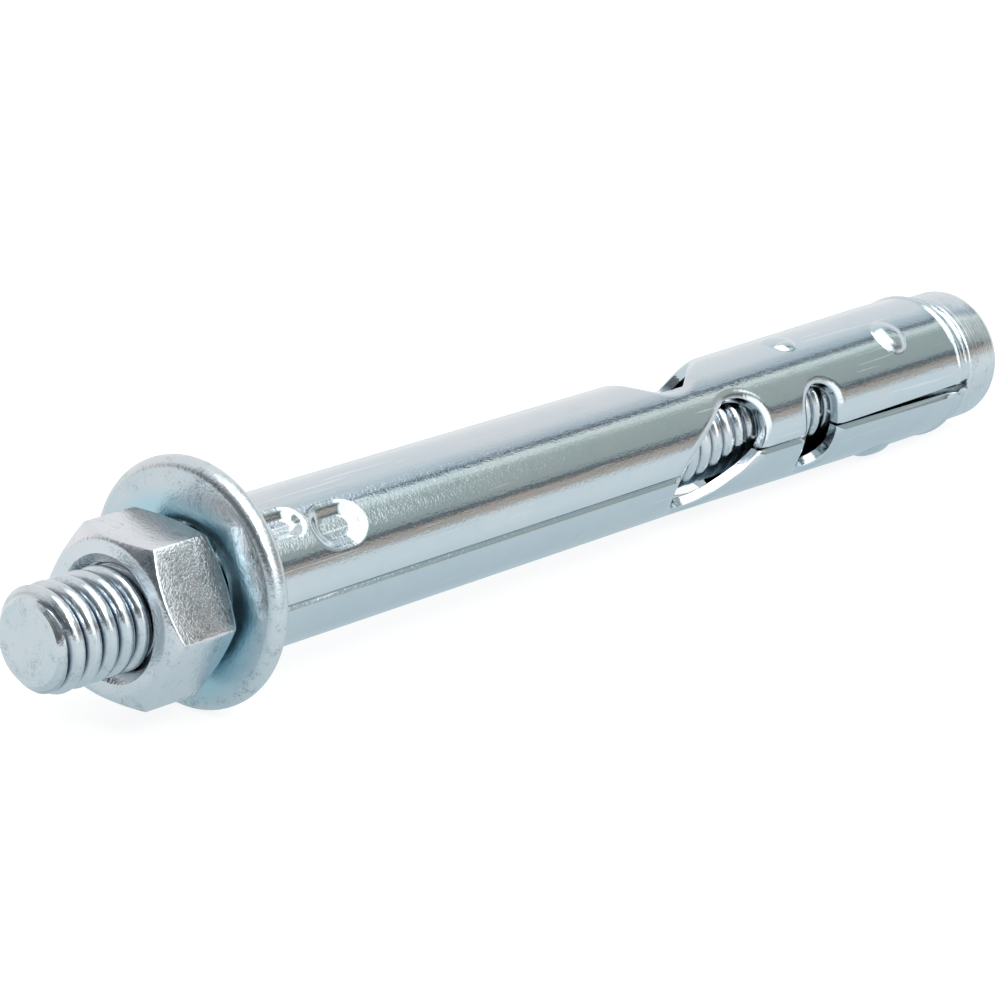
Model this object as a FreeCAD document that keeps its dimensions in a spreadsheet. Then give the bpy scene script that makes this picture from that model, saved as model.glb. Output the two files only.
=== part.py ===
import FreeCAD, Part
import math
import os
import Sketcher

# A sleeve anchor lying on its side: a threaded stud with a cone at its far end, a rolled
# sheet sleeve round it, and a washer and a hex nut at its near end.
# Millimetres. X runs along the anchor from the washer to the cone end, and Z is up. The
# origin is on the anchor's axis, at the washer's bearing face, which the sleeve meets.

SIZES = {
    "thread_diameter": (8.2, "outside of the stud's coarse thread"),
    "thread_pitch": (1.6, "advance of the thread in one turn"),
    "thread_depth": (0.98, "depth of the thread's groove"),
    "thread_crest": (0.12, "width of the thread's crest as a share of the pitch"),
    "thread_lead": (0.09, "turns by which the groove starts ahead of the tip"),
    "stud_projection": (17.0, "from the washer's bearing face to the stud's free tip"),
    "cone_start": (79.0, "where the thread ends and the cone begins"),
    "cone_clearance": (0.05, "radial room between the cone and the sleeve's lip"),
    "head_diameter": (11.9, "plain round head past the cone"),
    "head_length": (4.9, "length of that head past the sleeve's end"),
    "head_gap": (0.12, "room between the sleeve's lip and the head's shoulder"),
    "head_round": (0.9, "rounding of the head's end edge"),
    "sleeve_diameter": (12.0, "outside of the rolled sleeve"),
    "sleeve_wall": (1.15, "thickness of the sheet"),
    "sleeve_length": (92.7, "from the washer to the end of the lip"),
    "seam_gap": (0.16, "width of the seam along the plain length"),
    "mouth_gap": (0.80, "width of the seam at the far end"),
    "flare_start": (54.0, "where the sleeve starts to widen over the cone"),
    "flare_end": (86.0, "where the sleeve reaches its widest"),
    "flare_diameter": (12.76, "outside of the widened stretch"),
    "lip_length": (2.1, "length of the swaged lip"),
    "lip_diameter": (12.1, "outside of the lip at its end"),
    "lip_wall": (0.70, "thickness of the lip at its end"),
    "window_centre": (56.25, "distance of the large windows from the washer"),
    "window_length": (12.9, "large window, along its long axis"),
    "window_width": (6.5, "large window, across its long axis"),
    "window_lean": (35.5, "degrees from the anchor's axis to the window's long axis"),
    "window_turn": (-2.4, "degrees from the seam to the middle of the first window"),
    "window_count": (3, "large windows round the sleeve"),
    "relief_centre": (70.15, "distance of the small window from the washer"),
    "relief_length": (8.6, "small window, measured round the sleeve"),
    "relief_width": (4.5, "small window, along the sleeve"),
    "bump_centre": (82.6, "distance of the ring of bumps from the washer"),
    "bump_diameter": (3.8, "outside of one bump"),
    "bump_height": (0.42, "how far a bump stands proud"),
    "bump_turn": (60.0, "degrees from the seam to the first bump of the ring"),
    "bump_count": (3, "bumps in the ring"),
    "side_bump_diameter": (3.2, "outside of a bump beside the small window"),
    "side_bump_height": (0.28, "how far it stands proud"),
    "side_bump_turn": (90.0, "degrees from the seam to a bump beside the small window"),
    "near_dimple_centre": (4.5, "distance of the dimple next to the washer"),
    "near_dimple_length": (5.2, "its length along the sleeve"),
    "near_dimple_width": (2.7, "its width round the sleeve"),
    "near_dimple_turn": (-61.0, "degrees from the seam to its middle"),
    "far_dimple_centre": (10.2, "distance of the second dimple from the washer"),
    "far_dimple_length": (5.3, "its length along the sleeve"),
    "far_dimple_width": (3.8, "its width round the sleeve"),
    "far_dimple_turn": (-48.0, "degrees from the seam to its middle"),
    "dimple_depth": (0.60, "how deep the dimples are pressed"),
    "seam_turn": (98.7, "degrees from the top of the anchor to the seam"),
    "washer_diameter": (19.4, "outside of the washer"),
    "washer_hole": (10.0, "hole through the washer"),
    "washer_thickness": (1.9, "thickness of the washer"),
    "washer_bevel": (0.55, "bevel of the washer's outer edges"),
    "washer_lift": (0.80, "how far the loose washer rides up on the stud"),
    "nut_across_flats": (12.7, "width of the nut"),
    "nut_height": (6.75, "height of the nut"),
    "nut_gap": (0.70, "room between the loose nut and the washer"),
    "nut_chamfer_angle": (30.0, "degrees that the nut's chamfers slope"),
    "nut_chamfer_land": (0.95, "chamfer circle as a share of the width across flats"),
    "nut_clearance": (0.04, "radial room between the nut and the thread"),
    "nut_countersink": (0.60, "depth of the countersink at each end of the nut's hole"),
    "nut_turn": (36.0, "degrees from the top of the anchor to a corner of the nut"),
    "face_gap": (0.02, "room between the washer and the sleeve"),
}

doc = FreeCAD.newDocument("sleeve_anchor")
sheet = doc.addObject("Spreadsheet::Sheet", "Sizes")
for row, (alias, (value, meaning)) in enumerate(SIZES.items(), start=1):
    sheet.set(f"A{row}", meaning)
    sheet.set(f"B{row}", str(value))
    sheet.setAlias(f"B{row}", alias)
doc.recompute()


def size(alias):
    return float(getattr(sheet, alias))


def number(text):
    return float(sheet.evalExpression(text))


def named(text):
    """The text of an expression with each size's alias led by the sheet's name."""
    words = ""
    word = ""
    for mark in text + " ":
        if mark.isalnum() or mark == "_":
            word += mark
            continue
        words += f"Sizes.{word}" if word in SIZES else word
        word = ""
        words += mark
    return words.strip()


def origin_plane(body, role):
    return next(f for f in body.Origin.OriginFeatures if f.Role == role)


def new_body(name):
    body = doc.addObject("PartDesign::Body", name)
    return body


def new_sketch(body, name, role="XY_Plane"):
    sketch = body.newObject("Sketcher::SketchObject", name)
    sketch.AttachmentSupport = [(origin_plane(body, role), "")]
    sketch.MapMode = "FlatFace"
    return sketch


def pin_point(sketch, geometry, end, across, up):
    """Holds one end of a line at two expressions, measured from the sketch's origin."""
    for kind, axis, text in (("DistanceX", -2, across), ("DistanceY", -1, up)):
        value = number(named(text))
        if abs(value) < 1e-9:
            sketch.addConstraint(Sketcher.Constraint("PointOnObject", geometry, end, axis))
            continue
        ends = (-1, 1, geometry, end) if value > 0 else (geometry, end, -1, 1)
        index = sketch.addConstraint(Sketcher.Constraint(kind, *ends, abs(value)))
        text = named(text) if value > 0 else f"-({named(text)})"
        sketch.setExpression(f"Constraints[{index}]", text)


def outline(sketch, corners):
    """Draws a closed outline of straight sides through corners given as two expressions each."""
    places = [FreeCAD.Vector(number(named(a)), number(named(b)), 0) for a, b in corners]
    count = len(corners)
    for i in range(count):
        sketch.addGeometry(Part.LineSegment(places[i], places[(i + 1) % count]), False)
    for i in range(count):
        sketch.addConstraint(Sketcher.Constraint("Coincident", i, 2, (i + 1) % count, 1))
        pin_point(sketch, i, 1, *corners[i])


def revolve(body, name, sketch, groove=False):
    feature = body.newObject("PartDesign::Groove" if groove else "PartDesign::Revolution", name)
    feature.Profile = sketch
    feature.ReferenceAxis = (sketch, ["H_Axis"])
    feature.Angle = 360.0
    sketch.Visibility = False
    return feature


def circles(shape, radius, place):
    """Names of the circular edges with this radius at this distance along X."""
    found = []
    for i, edge in enumerate(shape.Edges, start=1):
        curve = edge.Curve
        if isinstance(curve, Part.Circle) and abs(curve.Radius - radius) < 1e-4:
            if abs(curve.Center.x - place) < 1e-4:
                found.append(f"Edge{i}")
    return found


def about_axis(shape, degrees):
    turned = shape.copy()
    turned.rotate(FreeCAD.Vector(), FreeCAD.Vector(1, 0, 0), degrees)
    return turned


# Stud: threaded rod, its cone and its plain round head, turned in one piece
def build_stud():
    body = new_body("StudBody")
    sketch = new_sketch(body, "StudProfile")
    face = "(thread_diameter - 1.227 * thread_pitch) / 2"
    thread = "thread_diameter / 2"
    mouth = "lip_diameter / 2 - lip_wall - cone_clearance"
    head = "head_diameter / 2"
    shoulder = "sleeve_length + head_gap"
    end = "sleeve_length + head_length"
    corners = [
        ("-stud_projection", "0"),
        ("-stud_projection", face),
        (f"-stud_projection + {thread} - {face}", thread),
        ("cone_start", thread),
        ("sleeve_length", mouth),
        (shoulder, mouth),
        (f"{shoulder} + ({head} - ({mouth})) / 4", head),
    ]
    for degrees in (0, 30, 60, 90):
        corners.append((
            f"{end} - head_round * (1 - sin({degrees} deg))",
            f"{head} - head_round * (1 - cos({degrees} deg))",
        ))
    outline(sketch, corners + [(end, "0")])
    revolve(body, "StudTurned", sketch)
    doc.recompute()
    cut_thread(body)
    return body


def cut_thread(body):
    """Cuts the thread's groove along a helix, from ahead of the tip to just inside the nut."""
    sketch = new_sketch(body, "ThreadGroove")
    crest = "thread_diameter / 2"
    flank = "(1 - thread_crest) * thread_pitch / 2"
    start = "-stud_projection - (1 + thread_lead) * thread_pitch"
    beyond = "thread_depth / 8"
    outline(sketch, [
        (start, f"{crest} - thread_depth"),
        (f"{start} + {flank} * 9 / 8", f"{crest} + {beyond}"),
        (f"{start} - {flank} * 9 / 8", f"{crest} + {beyond}"),
    ])
    groove = body.newObject("PartDesign::SubtractiveHelix", "Thread")
    groove.Profile = sketch
    groove.ReferenceAxis = (sketch, ["H_Axis"])
    groove.Mode = "pitch-height-angle"
    groove.setExpression("Pitch", named("thread_pitch"))
    groove.setExpression("Height", named(
        "stud_projection + (1.5 + thread_lead) * thread_pitch - washer_thickness - nut_gap - nut_height"))
    groove.Angle = 0
    sketch.Visibility = False
    doc.recompute()
    if not groove.Shape.Volume < groove.BaseFeature.Shape.Volume:
        raise RuntimeError("the thread cuts nothing")


# Sleeve blank: the rolled tube with its flare and swaged lip, and its open seam at the top
def build_sleeve_blank():
    body = new_body("SleeveBlank")
    sketch = new_sketch(body, "SleeveProfile")
    plain = "sleeve_diameter / 2"
    wide = "flare_diameter / 2"
    lip_start = "sleeve_length - lip_length"
    outline(sketch, [
        ("face_gap", f"{plain} - sleeve_wall"),
        ("face_gap", plain),
        ("flare_start", plain),
        ("flare_end", wide),
        (lip_start, wide),
        ("sleeve_length", "lip_diameter / 2"),
        ("sleeve_length", "lip_diameter / 2 - lip_wall"),
        (lip_start, f"{wide} - sleeve_wall"),
        ("flare_end", f"{wide} - sleeve_wall"),
        ("flare_start", f"{plain} - sleeve_wall"),
    ])
    revolve(body, "SleeveRolled", sketch)
    seam = new_sketch(body, "SeamOutline")
    past = "sleeve_length + head_length"
    growth = "(mouth_gap - seam_gap) / (sleeve_length - flare_start) * (head_length / 2) + mouth_gap / 2"
    outline(seam, [
        ("-head_length", "-seam_gap / 2"),
        ("flare_start", "-seam_gap / 2"),
        (past, f"-({growth})"),
        (past, growth),
        ("flare_start", "seam_gap / 2"),
        ("-head_length", "seam_gap / 2"),
    ])
    doc.recompute()
    before = body.Tip.Shape.Volume
    slit = body.newObject("PartDesign::Pocket", "Seam")
    slit.Profile = seam
    slit.Reversed = True
    slit.Type = "Length"
    slit.setExpression("Length", named("flare_diameter"))
    seam.Visibility = False
    doc.recompute()
    if not slit.Shape.Volume < before:
        raise RuntimeError("the seam cuts nothing")
    return body


def slot_side(start, end, centre=None):
    """One side of a slot in the flat sheet: a straight line, or a half circle about centre."""
    steps = 6
    if centre is None:
        return [start + (end - start) * (i / steps) for i in range(steps + 1)]
    arm = start - centre
    points = []
    for i in range(steps + 1):
        turn = math.pi * i / steps
        spun = FreeCAD.Vector(arm.x * math.cos(turn) - arm.y * math.sin(turn),
                              arm.x * math.sin(turn) + arm.y * math.cos(turn), 0)
        points.append(centre + spun)
    return points


def slot_cutter(centre, length, width, lean, turn):
    """A round-ended slot as it is punched in the flat sheet and then rolled: its walls
    point at the anchor's axis. It is lofted between two planes above that axis."""
    along = FreeCAD.Vector(math.cos(lean), math.sin(lean), 0)
    aside = FreeCAD.Vector(-along.y, along.x, 0)
    reach = along * ((length - width) / 2)
    edge = aside * (width / 2)
    sides = [
        slot_side(-reach - edge, reach - edge),
        slot_side(reach - edge, reach + edge, reach),
        slot_side(reach + edge, -reach + edge),
        slot_side(-reach + edge, -reach - edge, -reach),
    ]
    radius = size("sleeve_diameter") / 2
    wires = []
    for height in (radius / 4, radius * 1.5):
        edges = []
        for side in sides:
            curve = Part.BSplineCurve()
            curve.interpolate([
                FreeCAD.Vector(centre + p.x, height * math.tan(p.y / radius), height) for p in side
            ])
            edges.append(curve.toShape())
        wires.append(Part.Wire(edges))
    return about_axis(Part.makeLoft(wires, True, True), turn)


# Windows: three leaning slots round the sleeve, and one small slot across the seam
def build_windows():
    cutters = doc.addObject("Part::Feature", "WindowCutters")
    count = int(size("window_count"))
    shapes = [
        slot_cutter(size("window_centre"), size("window_length"), size("window_width"),
                    math.radians(size("window_lean")), size("window_turn") + 360.0 * i / count)
        for i in range(count)
    ]
    shapes.append(slot_cutter(size("relief_centre"), size("relief_length"), size("relief_width"),
                              math.pi / 2, 0.0))
    cutters.Shape = Part.makeCompound(shapes)
    return cutters


def shell_radius(place):
    """Outside radius of the sleeve at this distance from the washer."""
    plain = size("sleeve_diameter") / 2
    wide = size("flare_diameter") / 2
    share = (place - size("flare_start")) / (size("flare_end") - size("flare_start"))
    return plain + (wide - plain) * min(max(share, 0.0), 1.0)


def bump(place, diameter, height, turn):
    """A round bump pressed out of the sheet, and the hollow that it leaves inside."""
    radius = shell_radius(place)
    ball = ((diameter / 2) ** 2 + height ** 2) / (2 * height)
    centre = FreeCAD.Vector(place, 0, radius + height - ball)
    wall = size("sleeve_wall")
    root = FreeCAD.Vector(place, 0, radius - wall / 2)
    post = Part.makeCylinder(diameter / 2, wall + height, root)
    along = FreeCAD.Vector(1, 0, 0)
    dome = Part.makeSphere(ball, centre, along).common(post)
    hollow = Part.makeSphere(ball - wall, centre, along)
    return about_axis(dome, turn), about_axis(hollow, turn)


def punch(place, length, width, grown, turn):
    """A punch for a dimple: a rod with ball ends, lying along the sleeve above the sheet.
    It meets the sheet in a round-ended oval of this length and width."""
    depth = size("dimple_depth")
    radius = ((width / 2) ** 2 + depth ** 2) / (2 * depth)
    centre = FreeCAD.Vector(place, 0, size("sleeve_diameter") / 2 - depth + radius)
    radius += grown
    reach = FreeCAD.Vector((length - width) / 2, 0, 0)
    tip = FreeCAD.Vector(reach.x + radius, 0, 0)
    lift = FreeCAD.Vector(0, 0, radius)
    shoulder = FreeCAD.Vector(radius, 0, radius) * math.sqrt(0.5)
    cap = Part.Arc(centre + reach + lift, centre + reach + shoulder, centre + tip)
    mirrored = FreeCAD.Vector(-shoulder.x, 0, shoulder.z)
    tail = Part.Arc(centre - tip, centre - reach + mirrored, centre - reach + lift)
    sides = [
        Part.makeLine(centre - reach + lift, centre + reach + lift),
        cap.toShape(),
        Part.makeLine(centre + tip, centre - tip),
        tail.toShape(),
    ]
    rod = Part.Face(Part.Wire(sides)).revolve(centre, FreeCAD.Vector(1, 0, 0), 360)
    return about_axis(rod, turn)


def build_dimples():
    """Dimples pressed in at two opposite sides: the hollows outside and the swellings inside."""
    wall = size("sleeve_wall")
    middle = size("sleeve_diameter") / 2 - wall / 2
    along = FreeCAD.Vector(1, 0, 0)
    core = Part.makeCylinder(middle, size("flare_start"), FreeCAD.Vector(), along)
    hollows = []
    swellings = []
    for end in ("near", "far"):
        place = size(f"{end}_dimple_centre")
        length = size(f"{end}_dimple_length")
        width = size(f"{end}_dimple_width")
        for side in (0.0, 180.0):
            turn = size(f"{end}_dimple_turn") + side
            hollows.append(punch(place, length, width, 0.0, turn))
            swellings.append(punch(place, length, width, wall, turn).common(core))
    return hollows, swellings


# Sleeve: the blank with its windows, dimples and bumps
def build_sleeve():
    blank = build_sleeve_blank()
    windows = build_windows()
    hollows, swellings = build_dimples()
    domes = []
    for i in range(int(size("bump_count"))):
        turn = size("bump_turn") + 360.0 * i / size("bump_count")
        domes.append(bump(size("bump_centre"), size("bump_diameter"), size("bump_height"), turn))
    for side in (-1, 1):
        domes.append(bump(size("relief_centre"), size("side_bump_diameter"), size("side_bump_height"),
                          side * size("side_bump_turn")))
    pressed = doc.addObject("Part::Feature", "PressedOut")
    pressed.Shape = swellings[0].fuse([dome for dome, hollow in domes] + swellings[1:])
    sunk = doc.addObject("Part::Feature", "PressedIn")
    sunk.Shape = hollows[0].fuse([hollow for dome, hollow in domes] + hollows[1:])
    whole = doc.addObject("Part::MultiFuse", "SleeveAndSwellings")
    whole.Shapes = [blank, pressed]
    dented = doc.addObject("Part::Cut", "SleeveDented")
    dented.Base = whole
    dented.Tool = sunk
    sleeve = doc.addObject("Part::Cut", "SleeveCut")
    sleeve.Base = dented
    sleeve.Tool = windows
    return sleeve


# Washer: flat ring with bevelled outer edges
def build_washer():
    body = new_body("WasherBody")
    sketch = new_sketch(body, "WasherProfile")
    outline(sketch, [
        ("-washer_thickness", "washer_hole / 2"),
        ("-washer_thickness", "washer_diameter / 2"),
        ("0", "washer_diameter / 2"),
        ("0", "washer_hole / 2"),
    ])
    revolve(body, "WasherRing", sketch)
    doc.recompute()
    ring = body.Tip
    rim = size("washer_diameter") / 2
    edges = circles(ring.Shape, rim, 0.0) + circles(ring.Shape, rim, -size("washer_thickness"))
    bevel = body.newObject("PartDesign::Chamfer", "WasherBevel")
    bevel.Base = (ring, edges)
    bevel.setExpression("Size", named("washer_bevel"))
    return body


# Nut: hex prism, chamfered at both ends, with a countersunk hole
def build_nut():
    body = new_body("NutBody")
    hexagon = new_sketch(body, "NutHexagon", "YZ_Plane")
    corner = size("nut_across_flats") / math.sqrt(3)
    places = [FreeCAD.Vector(corner * math.sin(math.pi * i / 3), corner * math.cos(math.pi * i / 3), 0)
              for i in range(6)]
    for i in range(6):
        hexagon.addGeometry(Part.LineSegment(places[i], places[(i + 1) % 6]), False)
    for i in range(6):
        hexagon.addConstraint(Sketcher.Constraint("Coincident", i, 2, (i + 1) % 6, 1))
    circle = hexagon.addGeometry(Part.Circle(FreeCAD.Vector(), FreeCAD.Vector(0, 0, 1), corner), True)
    hexagon.addConstraint(Sketcher.Constraint("Coincident", circle, 3, -1, 1))
    for i in range(6):
        hexagon.addConstraint(Sketcher.Constraint("PointOnObject", i, 1, circle))
    for i in range(1, 6):
        hexagon.addConstraint(Sketcher.Constraint("Equal", 0, i))
    hexagon.addConstraint(Sketcher.Constraint("PointOnObject", 0, 1, -2))
    across = hexagon.addConstraint(Sketcher.Constraint("Radius", circle, corner))
    hexagon.setExpression(f"Constraints[{across}]", named("nut_across_flats / sqrt(3)"))
    prism = body.newObject("PartDesign::Pad", "NutPrism")
    prism.Profile = hexagon
    prism.setExpression("Length", named("nut_height"))
    prism.Reversed = True
    hexagon.Visibility = False
    doc.recompute()

    land = "nut_across_flats * nut_chamfer_land / 2"
    corner_text = "nut_across_flats"
    fall = f"({corner_text} - {land}) * tan(nut_chamfer_angle)"
    for name, face, inward in (("Back", "0", "-"), ("Front", "-nut_height", "+")):
        sketch = new_sketch(body, f"Nut{name}Chamfer")
        beyond = f"{face} {'+' if inward == '-' else '-'} nut_height / 4"
        outline(sketch, [
            (beyond, land),
            (face, land),
            (f"{face} {inward} {fall}", corner_text),
            (beyond, corner_text),
        ])
        revolve(body, f"Nut{name}Cone", sketch, groove=True)
        doc.recompute()

    hole = new_sketch(body, "NutHole")
    thread = "thread_diameter / 2 + nut_clearance"
    mouth = f"{thread} + nut_countersink"
    outline(hole, [
        ("0", "0"),
        ("0", mouth),
        ("-nut_countersink", thread),
        ("-nut_height + nut_countersink", thread),
        ("-nut_height", mouth),
        ("-nut_height", "0"),
    ])
    before = body.Tip.Shape.Volume
    bore = revolve(body, "NutBore", hole, groove=True)
    doc.recompute()
    if not bore.Shape.Volume < before:
        raise RuntimeError("the nut's hole cuts nothing")
    return body


def seat(part, label, shift=(0, 0, 0), turn=0.0):
    part.Label = label
    turned = FreeCAD.Rotation(FreeCAD.Vector(1, 0, 0), turn)
    part.Placement = FreeCAD.Placement(FreeCAD.Vector(*shift), turned)
    return part


parts = [
    seat(build_stud(), "stud"),
    seat(build_sleeve(), "sleeve", turn=size("seam_turn")),
    seat(build_washer(), "washer", (0, 0, size("washer_lift"))),
    seat(build_nut(), "nut", (-size("washer_thickness") - size("nut_gap"), 0, 0), size("nut_turn")),
]
doc.recompute()

for item in doc.Objects:
    if "Invalid" in item.State or "Error" in item.State:
        raise RuntimeError(f"{item.Label} failed: {item.State}")
for part in parts:
    if part.Shape.isNull() or not part.Shape.isValid() or len(part.Shape.Solids) != 1:
        raise RuntimeError(f"{part.Label} is not one valid solid")

os.makedirs("parts", exist_ok=True)
for part in parts:
    part.Shape.exportStep(f"parts/{part.Label}.step")
    print(part.Label, round(part.Shape.Volume, 2), "mm3", len(part.Shape.Faces), "faces")
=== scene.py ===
import math

import bmesh
import bpy
import numpy as np
from mathutils import Matrix, Vector
from mathutils.geometry import delaunay_2d_cdt


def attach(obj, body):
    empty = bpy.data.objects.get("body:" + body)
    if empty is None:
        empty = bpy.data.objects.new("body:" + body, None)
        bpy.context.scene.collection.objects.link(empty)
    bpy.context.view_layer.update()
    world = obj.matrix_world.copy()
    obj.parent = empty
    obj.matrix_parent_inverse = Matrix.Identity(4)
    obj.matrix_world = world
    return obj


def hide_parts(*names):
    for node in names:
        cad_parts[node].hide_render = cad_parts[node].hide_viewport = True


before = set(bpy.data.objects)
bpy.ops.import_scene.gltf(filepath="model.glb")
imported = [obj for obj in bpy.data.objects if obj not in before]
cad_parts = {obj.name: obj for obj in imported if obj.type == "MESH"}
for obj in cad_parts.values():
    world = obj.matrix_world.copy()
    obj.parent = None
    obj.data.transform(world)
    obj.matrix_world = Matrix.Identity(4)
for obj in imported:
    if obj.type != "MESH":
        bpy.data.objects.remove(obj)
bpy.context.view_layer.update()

mm = 0.001
print("frame loaded:", ", ".join(sorted(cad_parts)))


# nodes written as sums

class Value:
    # wraps a node's output socket, so that shader and geometry maths read as plain sums
    def __init__(self, tree, socket):
        self.tree = tree
        self.socket = socket

    @staticmethod
    def node(tree, kind, settings=None, inputs=None, output=0):
        made = tree.nodes.new(kind)
        for name, value in (settings or {}).items():
            if name == "stops":
                Value.fillRamp(made.color_ramp, value)
            else:
                setattr(made, name, value)
        for name, value in (inputs or {}).items():
            if isinstance(value, Value):
                tree.links.new(value.socket, made.inputs[name])
            else:
                made.inputs[name].default_value = value
        return Value(tree, made.outputs[output]) if made.outputs else None

    @staticmethod
    def fillRamp(ramp, stops):
        while len(ramp.elements) < len(stops):
            ramp.elements.new(0.5)
        for element, (place, colour) in zip(ramp.elements, stops):
            element.position = place
            element.color = colour

    def parts(self):
        # the three coordinates of a vector
        split = Value.node(self.tree, "ShaderNodeSeparateXYZ", inputs={0: self})
        return [Value(self.tree, out) for out in split.socket.node.outputs]

    def math(self, operation, *others):
        return Value.node(self.tree, "ShaderNodeMath", {"operation": operation},
                          dict(enumerate((self, *others))))

    def __add__(self, other):
        return self.math("ADD", other)

    def __radd__(self, other):
        return self.math("ADD", other)

    def __sub__(self, other):
        return self.math("SUBTRACT", other)

    def __rsub__(self, other):
        return Value.node(self.tree, "ShaderNodeMath", {"operation": "SUBTRACT"},
                          {0: other, 1: self})

    def __mul__(self, other):
        return self.math("MULTIPLY", other)

    def __rmul__(self, other):
        return self.math("MULTIPLY", other)

    def __truediv__(self, other):
        return self.math("DIVIDE", other)

    def __pow__(self, other):
        return self.math("POWER", other)

    def least(self, other):
        return self.math("MINIMUM", other)

    def most(self, other):
        return self.math("MAXIMUM", other)

    def ease(self, low, high, start=0.0, end=1.0):
        # goes smoothly from start to end while this value goes from low to high
        return Value.node(self.tree, "ShaderNodeMapRange", {"interpolation_type": "SMOOTHSTEP"}, {
            "Value": self, "From Min": low, "From Max": high, "To Min": start, "To Max": end})

    def between(self, low, high):
        return self.most(low).least(high)


def mixColour(tree, factor, first, second):
    # by number, because the node has several sockets of each name
    return Value.node(tree, "ShaderNodeMix", {"data_type": "RGBA"},
                      {0: factor, 6: first, 7: second}, output=2)


def emptyTree(owner):
    # the node tree of a material or world, with nothing in it yet
    owner.use_nodes = True
    owner.node_tree.nodes.clear()
    return owner.node_tree


# camera

cameraSizes = {
    "place": (-0.18174875, -0.18706332, 0.08188868),
    "gaze": (0.72603376, 0.62934677, -0.27712386),
    "lens": 132.16, "sensor": 36.0, "nearest": 0.01, "farthest": 20.0,
}


def turnTo(made, way):
    # turns a camera or lamp so that it looks this way
    made.rotation_mode = "QUATERNION"
    made.rotation_quaternion = Vector(way).to_track_quat("-Z", "Y")


def placeCamera(s):
    data = bpy.data.cameras.new("camera")
    data.sensor_width = s["sensor"]
    data.lens = s["lens"]
    data.clip_start = s["nearest"]
    data.clip_end = s["farthest"]
    camera = bpy.data.objects.new("camera", data)
    camera.location = s["place"]
    turnTo(camera, s["gaze"])
    bpy.context.scene.collection.objects.link(camera)
    bpy.context.scene.camera = camera


placeCamera(cameraSizes)
print("camera placed")


# zinc plating

def zincPlate(name, look):
    material = bpy.data.materials.new(name)
    tree = emptyTree(material)
    place = Value.node(tree, "ShaderNodeTexCoord", output="Object")
    x, y, z = place.parts()
    away = (y * y + z * z).math("SQRT")
    marks = place
    if look["turned"]:
        marks = Value.node(tree, "ShaderNodeCombineXYZ", inputs={0: x, 1: away})

    def noise(scale, detail, rough=0.5, seed=0.0, stretch=1.0, distortion=0.0, way=place):
        # noise with this many blotches in a metre, drawn out along the anchor by stretch
        at = Value.node(tree, "ShaderNodeMapping", inputs={
            "Vector": way, "Location": (seed, seed * 0.7, -seed), "Scale": (1 / stretch, 1, 1)})
        return Value.node(tree, "ShaderNodeTexNoise", inputs={
            "Vector": at, "Scale": scale, "Detail": detail, "Roughness": rough,
            "Distortion": distortion})

    cloud = noise(look["cloudScale"], 3, seed=1.3)
    mottle = noise(look["mottleScale"], 4, 0.6, seed=2.1)
    grain = noise(look["grainScale"], 2, 0.7, seed=3.7)
    streak = noise(look["streakScale"], 3, 0.65, 4.9, look["streakStretch"], way=marks)
    line = noise(look["lineScale"], 2, 0.5, 6.1, look["lineStretch"], 0.4, way=marks)

    tone = mixColour(tree, cloud.ease(*look["cloudLimits"]), look["cool"], look["plain"])
    tint = mottle.ease(*look["tintLimits"]) * look["tintShare"]
    tone = mixColour(tree, tint, tone, look["warm"])
    stain = mottle.ease(*look["stainLimits"]) * grain.ease(*look["grainLimits"])
    tone = mixColour(tree, stain * look["stainShare"], tone, look["stain"])
    scratch = line.ease(look["lineEdge"], look["lineEdge"] + look["lineWidth"])
    tone = mixColour(tree, scratch * look["scratchShare"], tone, look["bright"])
    # painted light by distance from the axis: painted shade in the thread's grooves, a painted teal
    # reflection on the washer's face beside the nut
    if "paintedLight" in look:
        first, last, fade = look["paintedLightStart"], look["paintedLightEnd"], look["paintedLightFade"]
        near = away.ease(look["paintedLightFrom"] * mm, look["paintedLightFull"] * mm)
        near = near * x.ease(first * mm, (first + fade) * mm)
        near = near * x.ease(last * mm, (last - fade) * mm)
        tone = mixColour(tree, near * look["paintedLightShare"], tone, look["paintedLight"])

    roughness = (look["roughness"] + (mottle - 0.5) * look["roughnessSwing"]
                 + scratch * look["scratchRoughness"] + (streak - 0.5) * look["streakRoughness"])
    height = (streak * look["streakHeight"] + grain * look["grainHeight"]
              + mottle * look["mottleHeight"] - scratch * look["scratchHeight"])
    normal = Value.node(tree, "ShaderNodeBump", inputs={
        "Strength": 1.0, "Distance": mm, "Height": height})
    shader = Value.node(tree, "ShaderNodeBsdfPrincipled", inputs={
        "Base Color": tone, "Metallic": 1.0, "Normal": normal,
        "Roughness": roughness.between(*look["roughnessLimits"])})
    Value.node(tree, "ShaderNodeOutputMaterial", inputs={"Surface": shader})
    return material


# scales count blotches in a metre and heights are in mm
sheetLook = {
    "cool": (0.59, 0.665, 0.705, 1), "plain": (0.63, 0.68, 0.71, 1),
    "warm": (0.68, 0.66, 0.68, 1), "stain": (0.40, 0.47, 0.49, 1),
    "bright": (0.80, 0.84, 0.86, 1),
    "cloudScale": 60, "mottleScale": 420, "grainScale": 4200,
    "streakScale": 900, "streakStretch": 40,
    "lineScale": 2600, "lineStretch": 45, "lineEdge": 0.66,
    "tintShare": 0.35, "stainShare": 0.15, "scratchShare": 0.5,
    "roughness": 0.09, "roughnessSwing": 0.08, "scratchRoughness": 0.12, "streakRoughness": 0.05,
    "streakHeight": 0.014, "grainHeight": 0.013, "mottleHeight": 0.018, "scratchHeight": 0.003,
    # values of the noises between which each mark sets in
    "cloudLimits": (0.35, 0.65), "tintLimits": (0.52, 0.75), "stainLimits": (0.50, 0.30),
    "grainLimits": (0.60, 0.40), "lineWidth": 0.05,
    "roughnessLimits": (0.08, 0.9),
    "paintedLightFade": 0.5,        # mm along the anchor in which the painted light tone ends
    "turned": False,         # whether its marks run round the anchor
}
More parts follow.
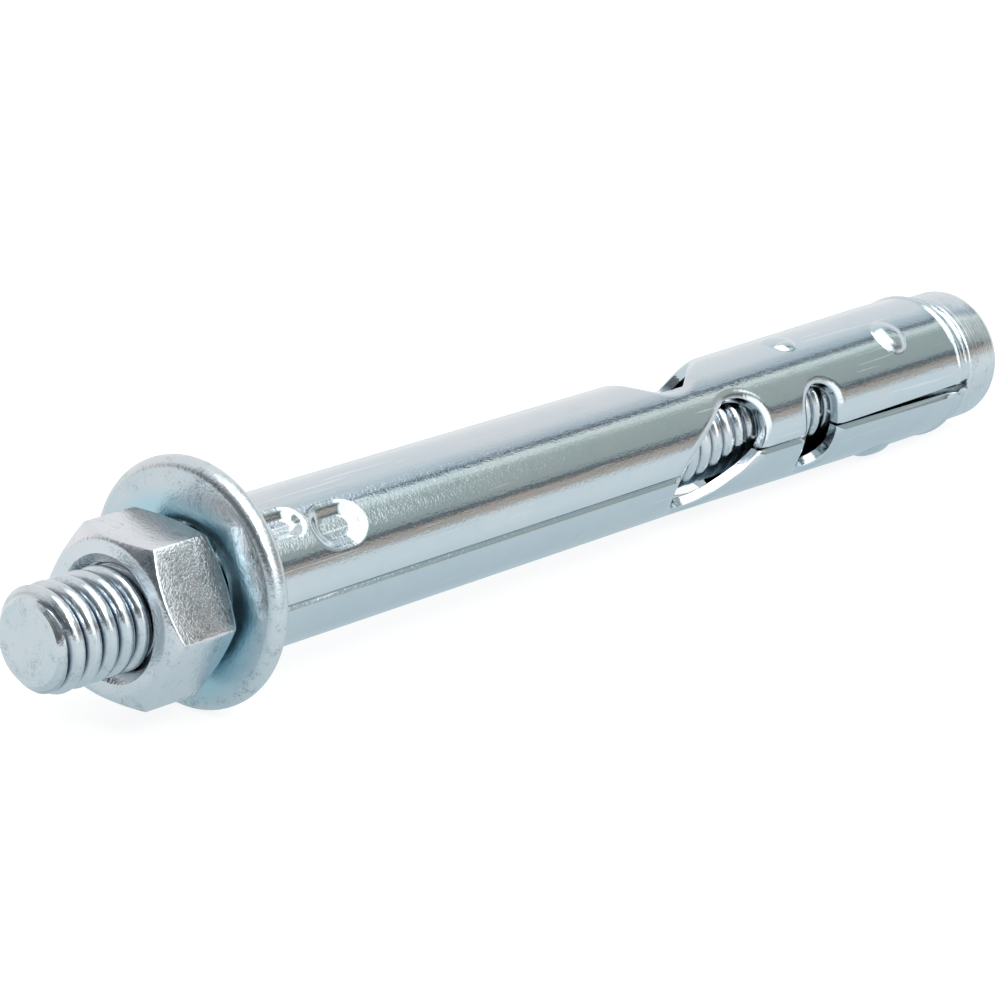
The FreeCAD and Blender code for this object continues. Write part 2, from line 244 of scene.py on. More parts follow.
forgedLook = dict(
    sheetLook, cool=(0.72, 0.75, 0.775, 1), plain=(0.75, 0.77, 0.79, 1),
    warm=(0.77, 0.73, 0.80, 1), stain=(0.24, 0.32, 0.36, 1),
    cloudScale=150, mottleScale=700, grainScale=4400, streakScale=500, streakStretch=1,
    lineStretch=1, lineEdge=0.74, stainShare=0.60, roughness=0.15,
    streakHeight=0.016, grainHeight=0.036, mottleHeight=0.026)
# a tone of painted light sets in between its From and Full distances, both from the axis, and is
# kept between its Start and End places along it: painted reflection on the washer, painted shade in
# the thread's grooves
washerLook = dict(
    forgedLook, cool=(0.62, 0.69, 0.72, 1), plain=(0.68, 0.71, 0.72, 1),
    roughness=0.24, stainShare=0.65, grainHeight=0.030,
    # painted reflection: teal on the washer's face inside 8.9 mm from the axis, next to the nut
    paintedLight=(0.38, 0.66, 0.76, 1), paintedLightShare=0.65, paintedLightFrom=8.9, paintedLightFull=6.8,
    paintedLightStart=-3.0, paintedLightEnd=1.0)
threadLook = dict(
    forgedLook, cool=(0.62, 0.68, 0.72, 1), plain=(0.67, 0.71, 0.73, 1),
    roughness=0.12, turned=True, stainShare=0.45, grainHeight=0.016, mottleHeight=0.008,
    streakScale=4500, streakHeight=0.030, lineScale=7000, lineEdge=0.62,
    # painted shade: navy in the thread's grooves, below the crests
    paintedLight=(0.06, 0.09, 0.15, 1), paintedLightShare=0.9, paintedLightFrom=3.82, paintedLightFull=3.50,
    paintedLightStart=-16.7, paintedLightEnd=81.0)

sleeveZinc = zincPlate("sleeveZinc", sheetLook)
nutZinc = zincPlate("nutZinc", forgedLook)
washerZinc = zincPlate("washerZinc", washerLook)
studZinc = zincPlate("studZinc", threadLook)
print("materials made")


# mesh helpers

weldDistance = 1e-7          # in metres


def makeObject(name, vertices, faces, material, scale=mm):
    mesh = bpy.data.meshes.new(name)
    mesh.from_pydata([tuple(scale * c for c in v) for v in vertices], [], faces)
    made = bpy.data.objects.new(name, mesh)
    bpy.context.scene.collection.objects.link(made)
    mesh.materials.append(material)
    return made


def tidyMesh(made, edgeAngle):
    # welds what lies together, turns the faces of each shell one way, which is outwards except on
    # the stud's open thread, and keeps edges over edgeAngle crisp
    work = bmesh.new()
    work.from_mesh(made.data)
    bmesh.ops.remove_doubles(work, verts=work.verts, dist=weldDistance)
    bmesh.ops.dissolve_degenerate(work, edges=work.edges, dist=weldDistance)
    bmesh.ops.recalc_face_normals(work, faces=work.faces)
    work.to_mesh(made.data)
    work.free()
    made.data.shade_smooth()
    made.data.set_sharp_from_angle(angle=math.radians(edgeAngle))
    return made


def applyModifiers(made):
    # turns the object's modified shape into its plain mesh
    graph = bpy.context.evaluated_depsgraph_get()
    mesh = bpy.data.meshes.new_from_object(made.evaluated_get(graph), depsgraph=graph)
    old = made.data
    made.modifiers.clear()
    made.data = mesh
    mesh.name = made.name
    bpy.data.meshes.remove(old)
    return made


def joinInto(main, *others):
    work = bmesh.new()
    for piece in (main, *others):
        work.from_mesh(piece.data)
    work.to_mesh(main.data)
    work.free()
    for other in others:
        bpy.data.objects.remove(other)
    return main


def lathe(profile, steps, turn=0.0):
    # vertices and faces of a profile of (x, r) points turned round the X axis; an end with
    # no radius closes to a point
    vertices = []
    rings = []
    for x, r in profile:
        if r == 0:
            rings.append([len(vertices)] * steps)
            vertices.append((x, 0.0, 0.0))
            continue
        rings.append(list(range(len(vertices), len(vertices) + steps)))
        for i in range(steps):
            angle = turn + 2 * math.pi * i / steps
            vertices.append((x, -r * math.sin(angle), r * math.cos(angle)))
    faces = []
    for near, far in zip(rings, rings[1:]):
        for i in range(steps):
            j = (i + 1) % steps
            corners = [near[i], near[j], far[j], far[i]]
            face = [c for k, c in enumerate(corners) if c != corners[k - 1]]
            if len(face) > 2:
                faces.append(face)
    return vertices, faces


def arcPoints(centre, radius, start, end, steps):
    turns = [start + (end - start) * i / steps for i in range(steps + 1)]
    return [(centre[0] + radius * math.cos(t), centre[1] + radius * math.sin(t)) for t in turns]


# geometry node trees

def newGeometryTree(name, sizes):
    tree = bpy.data.node_groups.new(name, "GeometryNodeTree")
    tree.interface.new_socket("Geometry", in_out="INPUT", socket_type="NodeSocketGeometry")
    for size in sizes:
        tree.interface.new_socket(size, in_out="INPUT", socket_type="NodeSocketFloat")
    tree.interface.new_socket("Material", in_out="INPUT", socket_type="NodeSocketMaterial")
    tree.interface.new_socket("Geometry", in_out="OUTPUT", socket_type="NodeSocketGeometry")
    entry = Value.node(tree, "NodeGroupInput").socket.node
    return tree, {socket.name: Value(tree, socket) for socket in entry.outputs if socket.name}


def endGeometryTree(tree, geometry, material):
    real = Value.node(tree, "GeometryNodeRealizeInstances", inputs={"Geometry": geometry})
    clad = Value.node(tree, "GeometryNodeSetMaterial", inputs={
        "Geometry": real, "Material": material})
    Value.node(tree, "NodeGroupOutput", inputs={"Geometry": clad})


def runGeometryTree(made, tree, sizes, material):
    modifier = made.modifiers.new(tree.name, "NODES")
    modifier.node_group = tree
    for item in tree.interface.items_tree:
        if item.in_out == "INPUT" and item.name in sizes:
            modifier[item.identifier] = float(sizes[item.name])
        if item.in_out == "INPUT" and item.name == "Material":
            modifier[item.identifier] = material
    applyModifiers(made)
    made.data.materials.clear()      # drops the empty slot that a mesh made by nodes starts with
    made.data.materials.append(material)
    made.data.polygons.foreach_set("material_index", np.zeros(len(made.data.polygons), int))
    return made


threadShape = {
    "rowsPerTurn": 16,       # rows of points in one pitch
    "steps": 44,             # points round the thread
    "crestPower": 2.5,       # the higher, the rounder the crest and the narrower the groove
    "nudge": 0.001,          # keeps the rows on one side of each crest
    "weld": 1e-6,
}


def threadTree(name, inside):
    # a helical ridge on a rod, or in a hole when inside: a sheared grid wound round the X axis,
    # whose rows follow the thread, with a cone at each end that it never crosses
    tree, size = newGeometryTree(name, [
        "Start", "End", "Radius", "Pitch", "Depth", "Phase", "Rows", "Start Radius", "Start Slope",
        "End Radius", "End Slope"])
    shape = threadShape
    rows = size["Rows"]
    grid = Value.node(tree, "GeometryNodeMeshGrid", inputs={
        "Size X": 1.0, "Size Y": 1.0, "Vertices X": rows, "Vertices Y": shape["steps"] + 1})
    gridX, gridY, _ = Value.node(tree, "GeometryNodeInputPosition").parts()
    turns = (gridX + 0.5) * (rows - 1) / shape["rowsPerTurn"]
    round_ = gridY + 0.5
    free = size["Start"] + (turns - 1 + round_) * size["Pitch"]
    x = free.between(size["Start"], size["End"])
    fromCrest = 1 - ((turns + shape["nudge"]).math("FRACT") - 0.5).math("ABSOLUTE") * 2
    radius = size["Radius"] - size["Depth"] * fromCrest ** shape["crestPower"]
    startLimit = size["Start Radius"] + (x - size["Start"]) * size["Start Slope"]
    endLimit = size["End Radius"] + (size["End"] - x) * size["End Slope"]
    radius = radius.most(startLimit) if inside else radius.least(startLimit)
    radius = radius.most(endLimit)
    angle = (round_ + size["Phase"]) * (2 * math.pi)
    moved = Value.node(tree, "ShaderNodeCombineXYZ", inputs={
        0: x, 1: radius * angle.math("COSINE"), 2: radius * angle.math("SINE")})
    wound = Value.node(tree, "GeometryNodeSetPosition", inputs={
        "Geometry": grid, "Position": moved})
    welded = Value.node(tree, "GeometryNodeMergeByDistance", inputs={
        "Geometry": wound, "Distance": shape["weld"]})
    endGeometryTree(tree, welded, size["Material"])
    return tree


def threadRows(long, pitch):
    # rows of the grid that covers this length, with a turn to spare
    return math.ceil((long / pitch + 1) * threadShape["rowsPerTurn"]) + 2


# stud

studSizes = {
    "tip": -17.0, "threadEnd": 79.0, "radius": 4.10, "pitch": 1.6, "depth": 0.76, "phase": 0.59,
    "tipRadius": 3.118, "tipSlope": 1.0, "endSlope": -0.8,
    "mouth": 5.30,           # of the cone, where it meets the head
    "sleeveEnd": 92.7, "shoulder": 92.82, "headRadius": 5.95,
    "end": 97.6, "round": 0.9, "frontRound": 0.32, "roundSteps": 8, "frontSteps": 6,
    "tipRings": (0.0, 1.0, 2.0), "endRings": (3.0, 0.0),     # radii of points on the end faces
    "steps": 144, "edgeAngle": 33,
}


def buildStud(s, material):
    thread = makeObject("stud", [(0, 0, 0)], [], material)
    runGeometryTree(thread, threadTree("rodThread", False), {
        "Start": s["tip"] * mm, "End": s["threadEnd"] * mm, "Radius": s["radius"] * mm,
        "Pitch": s["pitch"] * mm, "Depth": s["depth"] * mm, "Phase": s["phase"],
        "Rows": threadRows(s["threadEnd"] - s["tip"], s["pitch"]),
        "Start Radius": s["tipRadius"] * mm, "Start Slope": s["tipSlope"],
        "End Radius": s["radius"] * mm, "End Slope": s["endSlope"]}, material)
    tip = [(s["tip"], r) for r in (*s["tipRings"], s["tipRadius"])]
    turn = 2 * math.pi * s["phase"]
    face = makeObject("studTip", *lathe(tip, threadShape["steps"], turn), material)
    head = [(s["threadEnd"], s["radius"]), (s["sleeveEnd"], s["mouth"]),
            (s["shoulder"], s["mouth"])]
    front = (s["shoulder"] + s["frontRound"], s["headRadius"] - s["frontRound"])
    head += arcPoints(front, s["frontRound"], math.pi, math.pi / 2, s["frontSteps"])
    head += [(s["end"] - s["round"], s["headRadius"])]
    rim = (s["end"] - s["round"], s["headRadius"] - s["round"])
    head += arcPoints(rim, s["round"], math.pi / 2, 0, s["roundSteps"])[1:]
    head += [(s["end"], r) for r in s["endRings"]]
    cone = makeObject("studHead", *lathe(head, s["steps"]), material)
    return tidyMesh(joinInto(thread, face, cone), s["edgeAngle"])


stud = buildStud(studSizes, studZinc)
print("stud made:", len(stud.data.polygons), "faces")


# sleeve

sleeveSizes = {
    "start": 0.02, "length": 92.7, "radius": 6.0, "wall": 1.15, "seam": 98.7,
    "flareStart": 54.0, "flareEnd": 86.0, "flareRadius": 6.38,
    "lipStart": 90.8, "lipEnd": 91.6, "lipRadius": 6.03, "lipWall": 0.70,
    "edge": 0.06,            # chamfer of every punched edge
    "drawnWidth": 0.90,      # how far the sheet is drawn in round each window
    "drawnFall": 0.28,
    "stripWidth": 0.35,      # sloping strip along the seam's lower edge
    "stripFall": 0.31,
    "stripGap": 0.4,         # from where it has run out to the lip
    "stripRunOut": 1.5,
    # width of the seam along the sleeve
    "gaps": ((0, 0.14), (40, 0.20), (72, 0.28), (92.7, 0.80)),
    # distance from the washer, degrees from the seam, length, width, lean
    "windows": ((56.25, -2.4, 12.9, 6.5, 35.5), (56.25, 117.6, 12.9, 6.5, 35.5),
                (56.25, 237.6, 12.9, 6.5, 35.5), (70.15, 0.0, 8.6, 4.5, 90.0)),
    # distance from the washer, degrees from the seam, length, width, height (below 0 is inwards)
    "pressings": ((4.5, -61, 5.4, 2.9, -0.60), (10.2, -48, 5.5, 4.0, -0.62),
                  (4.5, 119, 5.4, 2.9, -0.60), (10.2, 132, 5.5, 4.0, -0.62),
                  (82.6, 60, 3.6, 3.6, 0.42), (82.6, 180, 3.6, 3.6, 0.42),
                  (82.6, 300, 3.6, 3.6, 0.42),
                  (70.15, 90, 3.1, 3.1, 0.28), (70.15, -90, 3.1, 3.1, 0.28)),
    "dimpleWall": (0.40, 1.05),              # where it starts and ends, as shares of the width
    "bumpPower": 3,
    # beads left by the swaging: place, half width, height
    "beads": ((90.85, 0.50, 0.16), (92.36, 0.34, 0.15)),
    # points of the blank: steps and margins in mm, and counts
    "seamStep": 0.7, "endPoints": 72, "windowTurns": 22, "windowStep": 0.5,
    "edgeRings": (1, 3), "drawnRings": (0.3, 0.55, 0.78, 1.0), "outerRing": 0.12,
    "ringSlack": 0.004,
    "firstPoint": (0.5, 0.4),                # from the start and from the seam
    "lipMargins": (0.6, 0.5),                # to the lip, where long steps end and short ones start
    "endMargin": 0.2, "seamMargin": 0.1, "windowMargin": 0.25,
    "longStep": 0.8, "lipStep": 0.1, "wideStep": 0.5,
    "fineStep": 0.17, "fineCount": 30,       # round each pressing, out to fineReach of its size
    "fineReach": 0.6, "weld": 1e-5, "edgeAngle": 26,
}


def buildBlank(s):
    # the flat sheet as it is punched: x along the sleeve, y round it from the seam, z through it
    around = 2 * math.pi * s["radius"]
    start, length = s["start"], s["length"]
    edge, drawn, strip = s["edge"], s["drawnWidth"], s["stripWidth"]
    gapPlaces, gapWidths = zip(*s["gaps"])
    windows = []
    for x, degrees, long, wide, lean in s["windows"]:
        reach, lean = (long - wide) / 2, math.radians(lean)
        middle = math.radians(degrees) * s["radius"]
        for lap in (-around, 0.0, around):
            if -long < middle + lap < around + long:
                windows.append((x, middle + lap, math.cos(lean) * reach, -math.sin(lean) * reach,
                                wide / 2))

    def halfGap(x):
        return np.interp(x, gapPlaces, gapWidths) / 2

    def depthInto(points, onlyWindows=False):
        # distance of each point from the nearest punched edge, below 0 off the sheet
        x, y = points[:, 0], points[:, 1]
        half = halfGap(x)
        nearest = np.minimum.reduce([x - start, length - x, y - half, around - half - y])
        if onlyWindows:
            nearest = np.full(len(x), around)
        for cx, cy, ax, ay, radius in windows:
            share = np.clip(((x - cx) * ax + (y - cy) * ay) / (ax * ax + ay * ay), -1, 1)
            apart = np.hypot(x - cx - share * ax, y - cy - share * ay)
            nearest = np.minimum(nearest, apart - radius)
        return nearest

    def windowLine(window, grown):
        # the outline of a window, or of a ring this far outside it
        cx, cy, ax, ay, radius = window
        count = s["windowTurns"]
        lean = math.atan2(ay, ax) - math.pi / 2
        turns = [lean + math.pi * i / count for i in range(count + 1)]
        ends = [(cx + side * (ax + (radius + grown) * math.cos(t)),
                 cy + side * (ay + (radius + grown) * math.sin(t)))
                for side in (1, -1) for t in turns]
        line = []
        for (x0, y0), (x1, y1) in zip(ends, ends[1:] + ends[:1]):
            parts = max(1, round(math.hypot(x1 - x0, y1 - y0) / s["windowStep"]))
            line += [(x0 + (x1 - x0) * i / parts, y0 + (y1 - y0) * i / parts)
                     for i in range(parts)]
        return line

    def seamLine(offset):
        count = round((length - start) / s["seamStep"])
        xs = np.linspace(start + offset, length - offset, count)
        return [(float(x), float(h)) for x, h in zip(xs, halfGap(xs) + offset)]

    def endLine(x, offset):
        half = float(halfGap(x)) + offset
        return [(x, float(y)) for y in np.linspace(half, around - half, s["endPoints"])]

    points, edges = [], []

    def addLoop(line):
        first = len(points)
        points.extend(line)
        edges.extend((first + i, first + (i + 1) % len(line)) for i in range(len(line)))

    def addRing(line, offset):
        # keeps what follows the punched edges of this line at this distance from them
        apart = depthInto(np.array(line)) - offset
        kept = np.flatnonzero(np.abs(apart) < s["ringSlack"])
        numbers = {i: len(points) + k for k, i in enumerate(kept)}
        points.extend(line[i] for i in kept)
        edges.extend((numbers[i], numbers[i + 1]) for i in kept if i + 1 in numbers)

    def inReach(places, x, middle, long, wide):
        # which of the places lie on a pressing or close round it
        return ((np.abs(places[:, 0] - x) < long * s["fineReach"])
                & (np.abs(places[:, 1] - middle) < wide * s["fineReach"]))

    low = seamLine(0.0)
    high = [(x, around - y) for x, y in low]
    addLoop(low + endLine(length, 0.0)[1:-1] + high[::-1] + endLine(start, 0.0)[1:-1][::-1])
    for window in windows:
        addLoop(windowLine(window, 0.0))
    for offset in (edge * count for count in s["edgeRings"]):
        line = seamLine(offset)
        addRing(line, offset)
        addRing([(x, around - y) for x, y in line], offset)
        addRing(endLine(length - offset, offset), offset)
        addRing(endLine(start + offset, offset), offset)
    for offset in (edge, *(drawn * share for share in s["drawnRings"]), drawn + s["outerRing"]):
        for window in windows:
            addRing(windowLine(window, offset), offset)
    addRing(seamLine(strip), strip)

    firstX, firstY = s["firstPoint"]
    longEnd, shortStart = (s["lipStart"] - margin for margin in s["lipMargins"])
    xs = np.concatenate([np.arange(start + firstX, longEnd, s["longStep"]),
                         np.arange(shortStart, length - s["endMargin"], s["lipStep"])])
    ys = np.arange(firstY, around, s["wideStep"])
    grid = np.array([(x, y + s["wideStep"] / 2 * (i % 2)) for i, x in enumerate(xs) for y in ys])
    clear = ((depthInto(grid) > strip + s["seamMargin"])
             & (depthInto(grid, True) > drawn + s["windowMargin"]))
    step, counts = s["fineStep"], range(-s["fineCount"], s["fineCount"] + 1)
    for x, degrees, long, wide, _ in s["pressings"]:
        middle = math.radians(degrees % 360) * s["radius"]
        fine = np.array([(x + i * step, middle + j * step + step / 2 * (i % 2))
                         for i in counts for j in counts])
        keep = inReach(fine, x, middle, long, wide) & (depthInto(fine) > strip + s["seamMargin"])
        points.extend(map(tuple, fine[keep]))
        clear &= ~inReach(grid, x, middle, long, wide)
    points.extend(map(tuple, grid[clear]))

    mesh = delaunay_2d_cdt([Vector(p) for p in points], edges, [], 0, s["weld"])
    flat, _, triangles = mesh[:3]
    flat = np.array([tuple(p) for p in flat])
    triangles = np.array([tuple(t) for t in triangles])
    triangles = triangles[depthInto(flat[triangles].mean(1)) > 0]
    used = np.unique(triangles)
    renumber = np.zeros(len(flat), int)
    renumber[used] = np.arange(len(used))
    flat, triangles = flat[used], renumber[triangles]

    drop = np.clip(edge - depthInto(flat), 0, edge)
    drawnIn = np.clip(1 - depthInto(flat, True) / drawn, 0, 1) ** 2 * s["drawnFall"]
    sloped = np.clip(1 - (flat[:, 1] - halfGap(flat[:, 0])) / strip, 0, 1) * s["stripFall"]
    sloped *= np.clip((s["lipStart"] - s["stripGap"] - flat[:, 0]) / s["stripRunOut"], 0, 1)
    top = np.column_stack([flat, -drop - np.maximum(drawnIn, sloped)])
    bottom = np.column_stack([flat, -s["wall"] + drop])
    count = len(flat)
    faces = [tuple(t) for t in triangles] + [tuple(count + t[::-1]) for t in triangles]
    once = {}                # edges of one triangle only, which get a wall
    for t in triangles:
        for a, b in ((t[0], t[1]), (t[1], t[2]), (t[2], t[0])):
            key = (min(a, b), max(a, b))
            once[key] = None if key in once else (a, b)
    faces += [(b, a, count + a, count + b) for a, b in filter(None, once.values())]
    return np.vstack([top, bottom]), [tuple(int(c) for c in face) for face in faces]


def rollTree(s):
    # rolls the flat blank into the sleeve, widens it over the cone, turns in its lip and
    # presses the dimples and bumps
    tree, size = newGeometryTree("rollSleeve", [
        "Radius", "Seam", "Flare Start", "Flare End", "Flare Radius", "Lip Start", "Lip End",
        "Lip Radius", "Lip Wall Share"])
    x, y, z = Value.node(tree, "GeometryNodeInputPosition").parts()
    widen = Value.node(tree, "ShaderNodeMapRange", inputs={
        "Value": x, "From Min": size["Flare Start"], "From Max": size["Flare End"]})
    lip = x.ease(size["Lip Start"], size["Lip End"])
    radius = size["Radius"] + widen * (size["Flare Radius"] - size["Radius"])
    radius = radius - lip * (size["Flare Radius"] - size["Lip Radius"])
    for place, degrees, long, wide, height in s["pressings"]:
        along = x - place * mm
        reach = (long - wide) / 2 * mm
        aside = y - math.radians(degrees % 360) * s["radius"] * mm
        apart = along - along.between(-reach, reach)
        share = (apart * apart + aside * aside).math("SQRT") / (wide / 2 * mm)
        if height > 0:
            radius = radius + (1 - share ** s["bumpPower"]).most(0) * (height * mm)
        else:
            radius = radius + share.ease(*s["dimpleWall"], height * mm, 0.0)
    for place, half, height in s["beads"]:
        share = (x - place * mm) / (half * mm)
        radius = radius + (1 - share * share).most(0) * (height * mm)
    radius = radius + z * (1 - lip * (1 - size["Lip Wall Share"]))
    angle = size["Seam"] + y / size["Radius"]
    rolled = Value.node(tree, "ShaderNodeCombineXYZ", inputs={
        0: x, 1: 0 - radius * angle.math("SINE"), 2: radius * angle.math("COSINE")})
    bent = Value.node(tree, "GeometryNodeSetPosition", inputs={
        "Geometry": size["Geometry"], "Position": rolled})
    endGeometryTree(tree, bent, size["Material"])
    return tree


def buildSleeve(s, material):
    blank = makeObject("sleeve", *buildBlank(s), material)
    runGeometryTree(blank, rollTree(s), {
        "Radius": s["radius"] * mm, "Seam": math.radians(s["seam"]),
        "Flare Start": s["flareStart"] * mm, "Flare End": s["flareEnd"] * mm,
        "Flare Radius": s["flareRadius"] * mm, "Lip Start": s["lipStart"] * mm,
        "Lip End": s["lipEnd"] * mm, "Lip Radius": s["lipRadius"] * mm,
        "Lip Wall Share": s["lipWall"] / s["wall"]}, material)
    return tidyMesh(blank, s["edgeAngle"])


sleeve = buildSleeve(sleeveSizes, sleeveZinc)
print("sleeve made:", len(sleeve.data.polygons), "faces")


# washer

washerSizes = {
    "hole": 5.0, "radius": 9.69, "thickness": 1.9, "round": 0.86,
    "break": 0.12,           # of the hole's edges
    "breakShare": 0.3,       # of the break, where its middle point lies
    "lift": 0.8,             # of its centre over the stud's axis
    "steps": 176, "rings": 6, "arcSteps": 8, "edgeAngle": 40,
}


def buildWasher(s, material):
    t, hole, nip, bend = s["thickness"], s["hole"], s["break"], s["round"]
    flat, inset = s["radius"] - bend, nip * s["breakShare"]
    reaches = [hole + (flat - hole) * i / s["rings"] for i in range(1, s["rings"])]
    profile = [(-t + nip, hole), (-t + inset, hole + inset), (-t, hole + nip)]
    profile += [(-t, reach) for reach in reaches]
    profile += arcPoints((-t + bend, flat), bend, math.pi, math.pi / 2, s["arcSteps"])
    profile += arcPoints((-bend, flat), bend, math.pi / 2, 0, s["arcSteps"])
    profile += [(0.0, reach) for reach in reversed(reaches)]
    profile += [(0.0, hole + nip), (-inset, hole + inset), (-nip, hole)]
    profile.append(profile[0])
    made = makeObject("washer", *lathe(profile, s["steps"]), material)
    made.data.transform(Matrix.Translation((0, 0, s["lift"] * mm)))
    return tidyMesh(made, s["edgeAngle"])


washer = buildWasher(washerSizes, washerZinc)
print("washer made:", len(washer.data.polygons), "faces")


# nut

nutSizes = {
    "flats": 12.7, "height": 6.75, "face": -2.60, "turn": 36.0, "land": 6.03, "slope": 30.0,
    "backRound": 0.45,       # how far the edge towards the washer is rounded past its chamfer
    "mouth": 4.90, "mouthSlope": -0.9, "bore": 4.14, "depth": 0.70, "steps": 14,
    "rimSteps": 6, "soften": 0.15, "softenSteps": 3, "softenAngle": 18,
    "bodyAngle": 15, "edgeAngle": 35,
}


def buildNut(s, rod, material):
    back, front = s["face"], s["face"] - s["height"]
    middle = (s["mouth"] + s["land"]) / 2
    fall = math.tan(math.radians(s["slope"]))
    half = math.radians(30)
    quarter = arcPoints((0, 0), 1, math.pi / 2, 0, s["rimSteps"])
    vertices, faces = [], []
    rows = 6 * s["steps"]
    for i in range(rows):
        side, step = divmod(i, s["steps"])
        lean = -half + 2 * half * step / s["steps"]
        angle = math.radians(s["turn"] + 30 + 60 * side) + lean
        reach = s["flats"] / 2 / math.cos(lean)
        drop = (reach - s["land"]) * fall
        long, wide = drop + s["backRound"], reach - s["land"] + s["backRound"]
        rim = [(back - long + long * x, reach - wide + wide * r) for x, r in quarter]
        row = [(front, s["mouth"]), (front, middle), (front, s["land"]), (front + drop, reach),
               *rim, (back, middle), (back, s["mouth"])]
        vertices += [(x, -r * math.sin(angle), r * math.cos(angle)) for x, r in row]
    width = len(row)
    for i in range(rows):
        j = (i + 1) % rows
        faces += [(i * width + k, j * width + k, j * width + k + 1, i * width + k + 1)
                  for k in range(width - 1)]
    body = makeObject("nut", vertices, faces, material)
    tidyMesh(body, s["bodyAngle"])
    soften = body.modifiers.new("soften", "BEVEL")
    soften.width = s["soften"] * mm
    soften.segments = s["softenSteps"]
    soften.limit_method = "ANGLE"
    soften.angle_limit = math.radians(s["softenAngle"])
    applyModifiers(body)

    thread = makeObject("nutThread", [(0, 0, 0)], [], material)
    phase = (rod["phase"] + (front - rod["tip"]) / rod["pitch"]) % 1
    runGeometryTree(thread, threadTree("nutThread", True), {
        "Start": front * mm, "End": back * mm, "Radius": s["bore"] * mm,
        "Pitch": rod["pitch"] * mm, "Depth": s["depth"] * mm, "Phase": phase,
        "Rows": threadRows(s["height"], rod["pitch"]),
        "Start Radius": s["mouth"] * mm, "Start Slope": s["mouthSlope"],
        "End Radius": s["mouth"] * mm, "End Slope": s["mouthSlope"]}, material)
    return tidyMesh(joinInto(body, thread), s["edgeAngle"])


nut = buildNut(nutSizes, studSizes, nutZinc)
print("nut made:", len(nut.data.polygons), "faces")


# what stands for what

for piece, node, body in ((stud, "stud", "anchor"), (sleeve, "sleeve", "anchor"),
                          (washer, "washer", "washer"), (nut, "nut", "nut")):
    piece.name = node + "Visual"
    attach(piece, body)
    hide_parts(node)
    node + "_zinc"
print("pieces ride on their bodies")


# floor, world and light

studio = {
    "floorHeight": -8.905,   # under the washer's rim, in mm
    "floorLean": 0.0256,     # rise along X, which passes just under the sleeve's far end
    "floorReach": 2.0,       # from the middle to each side, in metres
    "floorWhite": (0.95, 0.95, 0.95, 1),     # as the lamps light it
    "floorSeen": (1.12, 1.12, 1.12, 1),      # its glow as the camera sees it
    "floorPaintedShadow": (0.55, 0.66, 0.71, 1),      # as the metal mirrors it, under the anchor: a painted shadow of the anchor
    "floorFar": (0.80, 0.87, 0.90, 1),       # and away from it
    "floorShadowEdge": (0.002, 0.026),             # metres aside where the painted shadow turns to far
    "seenShare": 0.75, "mirroredShare": 0.85,                # how much of each is glow
    # strips of the tent that run along the anchor: degrees from straight up towards -Y, colour
    "strips": ((-90, (1.05, 1.02, 1.0)), (-70, (0.95, 0.95, 0.96)), (-24, (0.92, 0.93, 0.95)),
               (-8, (0.62, 0.70, 0.74)), (2, (0.52, 0.60, 0.66)), (4, (0.10, 0.13, 0.17)),
               (9, (0.12, 0.15, 0.18)), (12, (0.98, 1.04, 1.02)), (18, (0.86, 0.94, 0.90)),
               (26, (0.48, 0.54, 0.51)), (64, (0.43, 0.48, 0.47)), (68, (0.14, 0.17, 0.19)),
               (73, (0.16, 0.17, 0.18)), (77, (0.54, 0.46, 0.40)), (84, (0.55, 0.50, 0.45)),
               (92, (0.75, 0.80, 0.82))),
    # parts of the tent laid over the strips: share, colour, then the limits that each keeps to,
    # in a direction's X (along), its Y (aside) and its turn round X from straight down (turned)
    "parts": {
        "front": (0.9, (0.09, 0.10, 0.12, 1), (("along", -0.45, -0.85),)),
        "camera side": (1.0, (1.55, 1.58, 1.62, 1), (
            ("along", 0.48, 0.36), ("along", -0.45, -0.30), ("aside", -0.20, -0.45))),
        # seen in the thread but not in the plain sleeve
        "above": (1.0, (1.9, 1.95, 2.0, 1), (
            ("along", 0.674, 0.652), ("along", -0.45, -0.30),
            ("turned", 0.465, 0.49), ("turned", 0.66, 0.63))),
        "beyond": (1.0, (1, 1, 1, 1), (("along", 0.86, 0.97),)),
    },
    # place, aim, size and power
    "softboxes": {"side": ((-0.07, -0.33, 0.25), (0.03, 0, 0), 0.18, 0.5),
                  "overhead": ((-0.03, -0.10, 0.40), (0.03, 0, 0), 0.15, 0.20)},
}


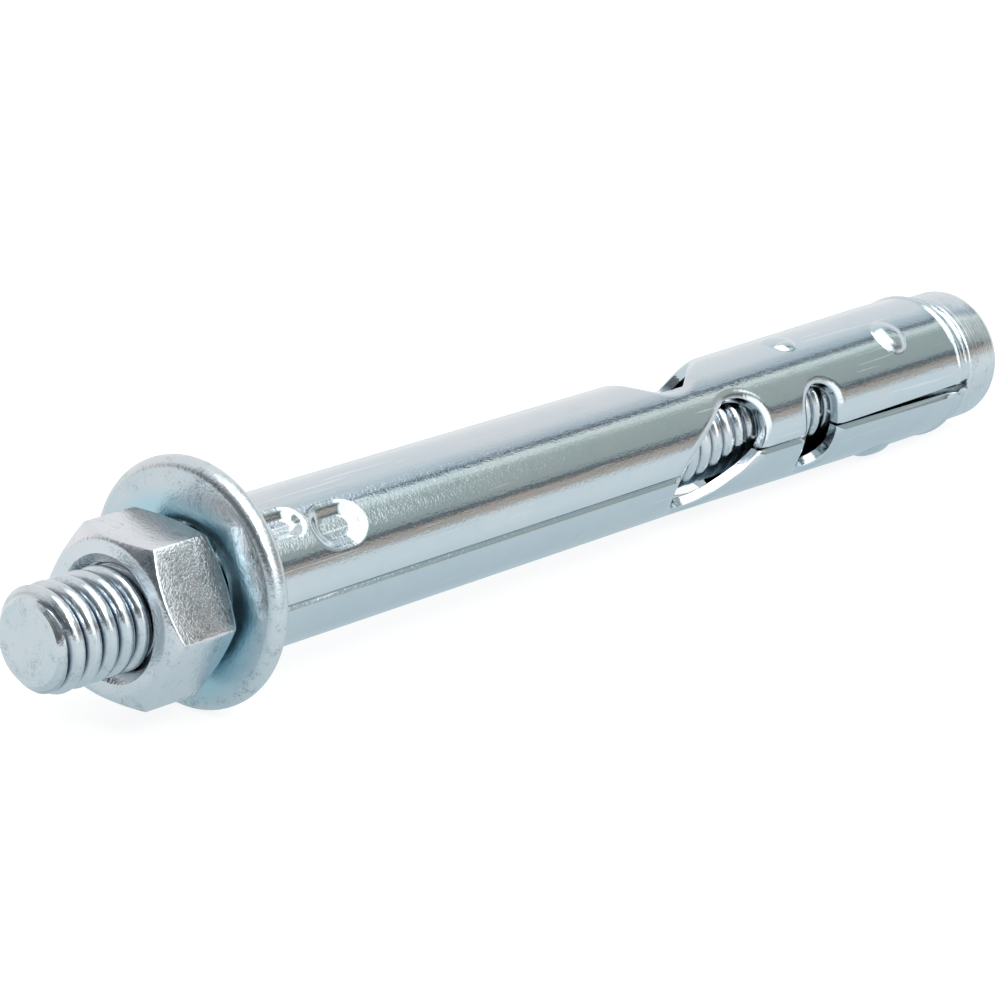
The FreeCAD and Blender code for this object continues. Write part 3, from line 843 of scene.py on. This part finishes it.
def buildFloor(s):
    reach = s["floorReach"]
    x0 = washerSizes["thickness"] / -2 * mm
    corners = [(x, y, s["floorHeight"] * mm + (x - x0) * s["floorLean"])
               for x, y in ((-reach, -reach), (reach, -reach), (reach, reach), (-reach, reach))]
    material = bpy.data.materials.new("paleFloor")
    tree = emptyTree(material)
    ray = Value.node(tree, "ShaderNodeLightPath", output="Is Camera Ray")
    glossy = Value.node(tree, "ShaderNodeLightPath", output="Is Glossy Ray")
    y = Value.node(tree, "ShaderNodeTexCoord", output="Object").parts()[1]
    turn = y.math("ABSOLUTE").ease(*s["floorShadowEdge"])
    # painted shadow: the floor's glow in the metal's mirror is darker under the anchor
    shade = mixColour(tree, turn, s["floorPaintedShadow"], s["floorFar"])
    shade = mixColour(tree, ray, shade, s["floorSeen"])
    matt = Value.node(tree, "ShaderNodeBsdfDiffuse", inputs={"Color": s["floorWhite"]})
    glow = Value.node(tree, "ShaderNodeEmission", inputs={"Color": shade, "Strength": 1.0})
    mixed = Value.node(tree, "ShaderNodeMixShader", inputs={
        0: ray * s["seenShare"] + glossy * s["mirroredShare"], 1: matt, 2: glow})
    Value.node(tree, "ShaderNodeOutputMaterial", inputs={"Surface": mixed})
    floor = makeObject("floor", corners, [(0, 1, 2, 3)], material, scale=1.0)


def buildWorld(s):
    world = bpy.data.worlds.new("studio")
    bpy.context.scene.world = world
    tree = emptyTree(world)
    along, aside, up = Value.node(tree, "ShaderNodeTexCoord", output="Generated").parts()
    turned = (0 - aside).math("ARCTAN2", up) / (2 * math.pi) + 0.5
    stops = [((degrees + 180) / 360, (*colour, 1)) for degrees, colour in s["strips"]]
    shade = Value.node(tree, "ShaderNodeValToRGB", {"stops": stops}, {"Fac": turned})
    ways = {"along": along, "aside": aside, "turned": turned}
    for share, colour, limits in s["parts"].values():
        for way, low, high in limits:
            share = ways[way].ease(low, high) * share
        shade = mixColour(tree, share, shade, colour)
    ray = Value.node(tree, "ShaderNodeLightPath", output="Is Camera Ray")
    shade = mixColour(tree, ray, shade, (1, 1, 1, 1))
    glow = Value.node(tree, "ShaderNodeBackground", inputs={"Color": shade, "Strength": 1.0})
    Value.node(tree, "ShaderNodeOutputWorld", inputs={"Surface": glow})


def addSoftbox(name, place, aim, size, power):
    data = bpy.data.lights.new(name, "AREA")
    data.shape = "DISK"
    data.size = size
    data.energy = power
    lamp = bpy.data.objects.new(name, data)
    lamp.location = place
    turnTo(lamp, Vector(aim) - Vector(place))
    bpy.context.scene.collection.objects.link(lamp)


buildFloor(studio)
buildWorld(studio)
for name, softbox in studio["softboxes"].items():
    addSoftbox(name, *softbox)
bpy.context.scene.view_settings.view_transform = "Standard"
print("studio set")
